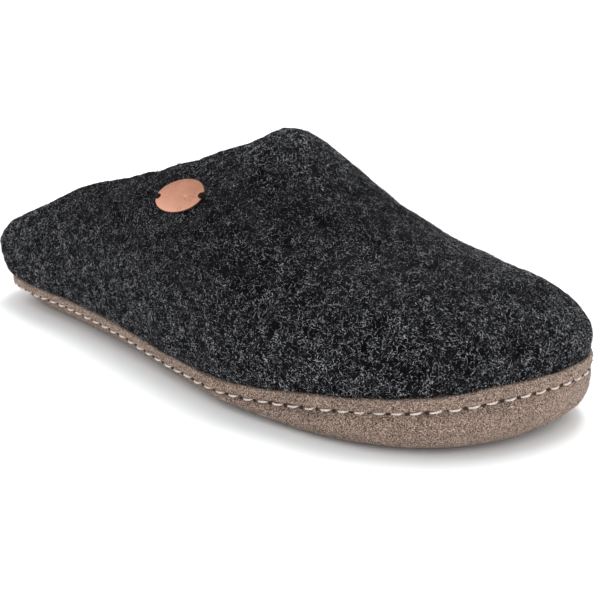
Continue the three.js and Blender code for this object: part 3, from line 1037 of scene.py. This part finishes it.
def make_pinholes():
    turns = turns_round(PINHOLE_SIDES)[:, None]
    rows = len(PINHOLE_RINGS)
    # the rings sink into the suede, so their faces are turned over
    ring_faces = [face[::-1] for face in band_faces(rows, PINHOLE_SIDES)]
    ring_faces.append(tuple((rows - 1) * PINHOLE_SIDES + i for i in range(PINHOLE_SIDES)))
    ring_faces.append(tuple(range(PINHOLE_SIDES))[::-1])
    parts = []
    for k in range(STITCHES):
        points, out = seam_frame(np.array([k - PINHOLE_STRIDE, k + PINHOLE_STRIDE]))
        sink = (0, 0, PINHOLE_RADIUS * PINHOLE_SINK)
        centre = points.mean(0) + out[0] * PINHOLE_STAND - sink
        along = points[1] - points[0]
        along /= np.linalg.norm(along)
        up = np.cross(out[0], along)
        # the thick forefoot is pulled open wider than the thin heel
        growth = np.interp(centre[0] / LENGTH, PINHOLE_GROWTH, (PINHOLE_NARROW, 1))
        radius = PINHOLE_RADIUS * growth
        ring = np.cos(turns) * along + PINHOLE_HEIGHT_SHARE * np.sin(turns) * up
        spots = [
            centre + radius * scale * ring + out[0] * height
            for scale, height in PINHOLE_RINGS
        ]
        parts.append((placed(np.concatenate(spots)), ring_faces))
    points, faces = joined(parts)
    # each pinhole is coloured dark: painted shade in the hole
    material = plain_material("pinhole", PINHOLE_PAINTED_SHADE, 1)
    return make_object("seam_pinholes", points, faces, material)


stitches = make_stitches()
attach(stitches, "root")
pinholes = make_pinholes()
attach(pinholes, "root")


# Badge

def badge_surface():
    """Gives points over the felt for places in the badge's own plane."""
    def point_at(share, rise):
        lines = Lines(place_at(np.atleast_1d(share)), -np.ones(np.size(share)))
        return lines.crown(np.atleast_1d(rise))

    def frame_at(share, rise):
        point = point_at(share, rise)
        along = (point_at(share + BADGE_STRIDE, rise) - point) / BADGE_STRIDE
        up = (point_at(share, rise + BADGE_STRIDE) - point) / BADGE_STRIDE
        out = np.cross(along, up)
        out /= np.linalg.norm(out, axis=1)[:, None]
        return point, along, up, out

    middle = frame_at(np.array([BADGE_SHARE]), np.array([BADGE_RISE_SHARE]))
    _, along, up, out = (part[0] for part in middle)
    turn = math.radians(BADGE_TURN)
    ahead = along / np.linalg.norm(along)
    forward = ahead * math.cos(turn) + np.cross(out, ahead) * math.sin(turn)
    upward = np.cross(out, forward)
    mix = along @ up
    spread = (along @ along) * (up @ up) - mix * mix

    def on_felt(a, b, height):
        step = forward * np.asarray(a)[:, None] + upward * np.asarray(b)[:, None]
        share = ((step @ along) * (up @ up) - (step @ up) * mix) / spread
        rise = ((step @ up) * (along @ along) - (step @ along) * mix) / spread
        point, _, _, way = frame_at(BADGE_SHARE + share, BADGE_RISE_SHARE + rise)
        return point + way * np.asarray(height)[..., None]

    return on_felt, out


ON_FELT, BADGE_OUT = badge_surface()


def badge_outline():
    half_x = BADGE_LENGTH / 2
    half_y = BADGE_HEIGHT / 2
    notch = math.asin(NOTCH_WIDTH / BADGE_HEIGHT)
    spots = []
    for facing in (1, -1):
        for step in range(NOTCH_STEPS):
            angle = HALF_TURN * step / NOTCH_STEPS - QUARTER_TURN
            reach = half_x * math.cos(notch) - NOTCH_DEPTH * math.cos(angle)
            spots.append((facing * reach, facing * NOTCH_WIDTH * math.sin(angle) / 2))
        for step in range(BADGE_STEPS):
            angle = notch + (HALF_TURN - 2 * notch) * step / BADGE_STEPS
            spots.append((facing * half_x * math.cos(angle), facing * half_y * math.sin(angle)))
    return np.array(spots)


def make_badge():
    outline = badge_outline()
    count = len(outline)
    along = np.roll(outline, -1, 0) - np.roll(outline, 1, 0)
    inward = np.stack([-along[:, 1], along[:, 0]], -1)
    inward /= np.linalg.norm(inward, axis=1)[:, None]
    front = GAP + BADGE_THICK
    rings = [(outline * share, GAP) for share in BACK_RINGS]
    rings.append((outline + inward * BADGE_BEVEL, GAP))
    for angle in np.linspace(0, QUARTER_TURN, CORNER_STEPS + 1):
        spots = outline + inward * BADGE_BEVEL * (1 - math.cos(angle))
        rings.append((spots, front - BADGE_BEVEL * (1 - math.sin(angle))))
    rim_rows = len(rings) - 1
    for inset, drop in FACE_RINGS:
        rings.append((outline + inward * inset, front - drop))
    # the middle is a low dish, oval inside the notches
    half = np.array([BADGE_LENGTH, BADGE_HEIGHT]) / 2
    turns = np.arctan2(outline[:, 1] / half[1], outline[:, 0] / half[0])
    oval = np.stack([np.cos(turns), np.sin(turns)], -1) * half
    for share in DISH_RINGS:
        depth = FACE_DROP + DISH_DEPTH * (1 - share * share)
        rings.append((oval * DISH_SHARE * share, front - depth))
    loops = [
        ON_FELT(spots[:, 0], spots[:, 1], np.full(count, height))
        for spots, height in rings
    ]
    points = placed(np.concatenate(loops))
    faces = capped_faces(len(loops), count)
    heights = points[:, 2] / MM
    copper = copper_material("copper", heights.min(), heights.max())
    obj = make_object("copper_badge", points, faces, copper)
    # the rim is dark up to the front face
    obj.data.materials.append(plain_material("painted_highlight_and_dark_rim", DARK_RIM_COLOUR, 0.6))
    for polygon in obj.data.polygons[: rim_rows * count]:
        polygon.material_index = 1
    return obj


badge = make_badge()
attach(badge, "root")
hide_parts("badge")


def make_badge_threads():
    """A dark thread through each notch, over the felt and into it beside the badge."""
    parts = []
    t = np.linspace(-1, 1, STRAND_STEPS)
    height = GAP + STRAND_RISE - STRAND_DIP * np.abs(t) ** 2.5
    for facing in (1, -1):
        reach = facing * (BADGE_LENGTH / 2 - NOTCH_DEPTH * STRAND_SEAT + STRAND_HALF * t)
        for strand in STRANDS:
            path = placed(ON_FELT(reach, np.full(STRAND_STEPS, strand), height))
            ups = np.broadcast_to(BADGE_OUT, path.shape)
            parts.append(tube(path, ups, STRAND_RADIUS * MM, STRAND_SIDES))
    points, faces = joined(parts)
    material = thread_material("badge_thread", STRAND_DARK, STRAND_LIGHT)
    return make_object("badge_threads", points, faces, material)


badge_threads = make_badge_threads()
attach(badge_threads, "root")


# Fibres of the felt and nap of the suede

# How much a ribbon wavers as it climbs, twists, narrows and changes its bend
WAVER = 0.12
TWIST = 0.5
NARROWING = 0.75
BEND_SPREAD = 0.6


def surface_spots(points, faces, count, weight):
    """Random spots on a mesh with their normals, spread by area and weight."""
    quads = four_corners(faces)
    a, b, c, d = (points[quads[:, k]] for k in range(4))
    normal = np.cross(c - a, d - b)
    area = np.linalg.norm(normal, axis=1)
    normal /= np.maximum(area, NO_AREA)[:, None]
    chance = area * weight((a + b + c + d) / 4, normal)
    picks = rng.choice(len(quads), count, p=chance / chance.sum())
    s, t = rng.random((2, count, 1))
    low = a[picks] * (1 - s) + b[picks] * s
    high = d[picks] * (1 - s) + c[picks] * s
    return low * (1 - t) + high * t, normal[picks]


def ribbon_points(spots, normals, length, width, lift, curl, steps, rise):
    """Pairs of points along curly ribbons that start on a surface and wander over it."""
    count = len(spots)
    heading = np.cross(normals, rng.normal(size=(count, 3)))
    heading /= np.linalg.norm(heading, axis=1)[:, None]
    strides = length * MM * rng.uniform(0.5, 1.4, count) / steps
    bend = rng.normal(0, curl, count)
    rows = [spots + normals * (lift * MM) * rng.uniform(0.1, 1, count)[:, None]]
    ways = []
    climb = rise * rng.uniform(0.2, 1.2, count)
    for _ in range(steps):
        angle = (bend + rng.normal(0, curl * BEND_SPREAD, count))[:, None]
        heading = heading * np.cos(angle) + np.cross(normals, heading) * np.sin(angle)
        way = heading + normals * (climb + rng.normal(0, WAVER, count))[:, None]
        way /= np.linalg.norm(way, axis=1)[:, None]
        ways.append(way)
        rows.append(rows[-1] + way * strides[:, None])
    ways.append(ways[-1])
    # a ribbon lies flat near the surface and twists a little
    points = []
    for row, (spot, way) in enumerate(zip(rows, ways)):
        across = np.cross(normals, way) + normals * rng.normal(0, TWIST, count)[:, None]
        across /= np.linalg.norm(across, axis=1)[:, None]
        half = width * MM / 2 * (1 - NARROWING * (row / steps) ** 2)
        points.append(spot - across * half)
        points.append(spot + across * half)
    return np.stack(points, 1)


def make_fibres(name, slot, spots, normals, material, *, length, width, lift, curl, steps, rise):
    """One joined mesh of ribbons, with their sizes in millimetres."""
    grid = ribbon_points(spots, normals, length, width, lift, curl, steps, rise)
    count, per_ribbon = grid.shape[:2]
    base = np.arange(count)[:, None] * per_ribbon
    faces = np.concatenate([base + 2 * k + np.array([0, 1, 3, 2]) for k in range(steps)])
    mesh = bpy.data.meshes.new(name)
    mesh.vertices.add(count * per_ribbon)
    mesh.vertices.foreach_set("co", grid.reshape(-1))
    mesh.loops.add(faces.size)
    mesh.loops.foreach_set("vertex_index", faces.reshape(-1).astype(np.int32))
    mesh.polygons.add(len(faces))
    mesh.polygons.foreach_set("loop_start", np.arange(len(faces), dtype=np.int32) * 4)
    mesh.update(calc_edges=True)
    mesh.materials.append(material)
    obj = linked(name, mesh)
    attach(obj, "root")
    return obj


# Fibres start over the suede's edge and clear of the badge, and are fewer inside
EDGE_CLEARANCE = 0.6
INSIDE_SHARE = 0.6
BADGE_CLEARANCE = 0.42


def on_show(centre, normal):
    """Weight of the felt's faces: what the cup hides takes no fibres, the inside few."""
    x = (centre[:, 0] - SHIFT[0]) / MM
    height = centre[:, 2] / MM
    right_side = slice(LINES_A_SIDE + 1)
    edge = np.interp(x, ROUND.foot[right_side, 0], ROUND.top[right_side])
    shows = height > edge + EDGE_CLEARANCE
    badge_middle = placed(ON_FELT([0.0], [0.0], np.zeros(1)))[0]
    reach = BADGE_HEIGHT * BADGE_CLEARANCE * MM
    clear = np.linalg.norm(centre - badge_middle, axis=1) > reach
    return shows * np.where(looks_in(centre, normal), INSIDE_SHARE, 1) * clear


# Count and sizes of each kind of fibre
LYING = dict(count=24000, length=4.2, width=0.15, lift=0.22, curl=0.8, steps=4, rise=0)
FINE = dict(count=31000, length=2.4, width=0.12, lift=0.3, curl=1.1, steps=3, rise=0.1)
STANDING = dict(count=31000, length=1.5, width=0.075, lift=0.1, curl=0.8, steps=3, rise=1.1)
NAP = dict(count=46000, length=1.2, width=0.2, lift=0.1, curl=0.9, steps=2, rise=0.6)

# The nap starts over the floor and thins out where the wall turns under
NAP_START = 1.2
LIP_LEVEL = 0.3
UNDERSIDE = 0.85
FULL_NAP = 0.5


def make_felt_fibres():
    look = fibre_material("loose_fibre", LOOSE_DARK, LOOSE_LIGHT)
    kinds = {"lying_fibres": LYING, "fine_fibres": FINE, "standing_fibres": STANDING}
    for name, kind in kinds.items():
        sizes = dict(kind)
        spots, normals = surface_spots(upper_points, upper_faces, sizes.pop("count"), on_show)
        make_fibres(name, "felt", spots, normals, look, **sizes)


def on_suede_wall(centre, normal):
    """Weight of the sole's faces: the nap grows on its wall and lip, not on its tread."""
    is_lip = normal[:, 2] > LIP_LEVEL
    is_wall = centre[:, 2] > NAP_START * MM
    return is_wall * np.clip(normal[:, 2] + UNDERSIDE, 0, FULL_NAP) * (1 + is_lip)


def make_suede_nap():
    look = fibre_material("suede_nap", NAP_DARK, NAP_LIGHT)
    sizes = dict(NAP)
    spots, normals = surface_spots(sole_points, sole_faces, sizes.pop("count"), on_suede_wall)
    make_fibres("suede_nap", "suede", spots, normals, look, **sizes)


make_felt_fibres()
make_suede_nap()


# Floor, light and camera: the floor and the light are in metres

FLOOR_HALF = 6
WORLD_COLOUR = (0.965, 0.987, 1)
UP = (0, 0, 1)


def make_floor():
    mesh = bpy.data.meshes.new("floor")
    corners = [(x * FLOOR_HALF, y * FLOOR_HALF, 0) for x, y in ((-1, -1), (1, -1), (1, 1), (-1, 1))]
    mesh.from_pydata(corners, [], [(0, 1, 2, 3)])
    mesh.materials.append(plain_material("floor", FLOOR_COLOUR, 0.9))
    floor = linked("floor", mesh)


def direction(azimuth, elevation):
    turn = math.radians(azimuth)
    climb = math.radians(elevation)
    return Vector((
        math.sin(turn) * math.cos(climb),
        -math.cos(turn) * math.cos(climb),
        math.sin(climb),
    ))


def add_light(name, azimuth, elevation, distance, size, power):
    """A soft square light that faces the shoe's middle."""
    data = bpy.data.lights.new(name, "AREA")
    data.energy = power
    data.size = size
    light = linked(name, data)
    back = direction(azimuth, elevation)
    light.location = back * distance
    light.rotation_euler = back.to_track_quat("Z", "Y").to_euler()


FRONT_AZIMUTH = 38
FRONT_ELEVATION = 55


def make_world(low_strength, high_strength, front_share):
    """White all round, brighter overhead, and dimmer in front, where the instep looks."""
    world = bpy.data.worlds.new("studio")
    world.use_nodes = True
    tree = world.node_tree
    background = tree.nodes["Background"]
    background.inputs["Color"].default_value = (*WORLD_COLOUR, 1)
    way = tree.nodes.new("ShaderNodeTexCoord").outputs["Generated"]

    def facing(target, low, high):
        """A strength that goes from low to high as the way turns to the target."""
        share = tree.nodes.new("ShaderNodeVectorMath")
        share.operation = "DOT_PRODUCT"
        share.inputs[1].default_value = target
        strengths = tree.nodes.new("ShaderNodeMapRange")
        strengths.inputs["To Min"].default_value = low
        strengths.inputs["To Max"].default_value = high
        tree.links.new(way, share.inputs[0])
        tree.links.new(share.outputs["Value"], strengths.inputs["Value"])
        return strengths.outputs["Result"]

    strength = tree.nodes.new("ShaderNodeMath")
    strength.operation = "MULTIPLY"
    front = direction(FRONT_AZIMUTH, FRONT_ELEVATION)
    tree.links.new(facing(UP, low_strength, high_strength), strength.inputs[0])
    tree.links.new(facing(front, 1, front_share), strength.inputs[1])
    tree.links.new(strength.outputs["Value"], background.inputs["Strength"])
    bpy.context.scene.world = world


CAMERA_AZIMUTH = 38.07
CAMERA_ELEVATION = 19.27
CAMERA_ROLL = 1.44
CAMERA_DISTANCE = 536
CAMERA_AIM = (140, 37.3, 13.2)
CAMERA_LENS = 70.74


def make_camera():
    data = bpy.data.cameras.new("camera")
    data.lens = CAMERA_LENS
    data.sensor_width = 36
    data.clip_start = 0.01
    data.clip_end = 50
    camera = linked("camera", data)
    back = direction(CAMERA_AZIMUTH, CAMERA_ELEVATION)
    camera.location = Vector(placed(np.array(CAMERA_AIM))) + back * CAMERA_DISTANCE * MM
    facing = back.to_track_quat("Z", "Y")
    roll = Euler((0, 0, math.radians(CAMERA_ROLL))).to_quaternion()
    camera.rotation_mode = "QUATERNION"
    camera.rotation_quaternion = facing @ roll
    bpy.context.scene.camera = camera


make_floor()
make_world(low_strength=1.1, high_strength=1.95, front_share=0.6)
add_light("key_light", azimuth=200, elevation=74, distance=1.4, size=0.8, power=17)
make_camera()
bpy.context.scene.view_settings.view_transform = "Standard"
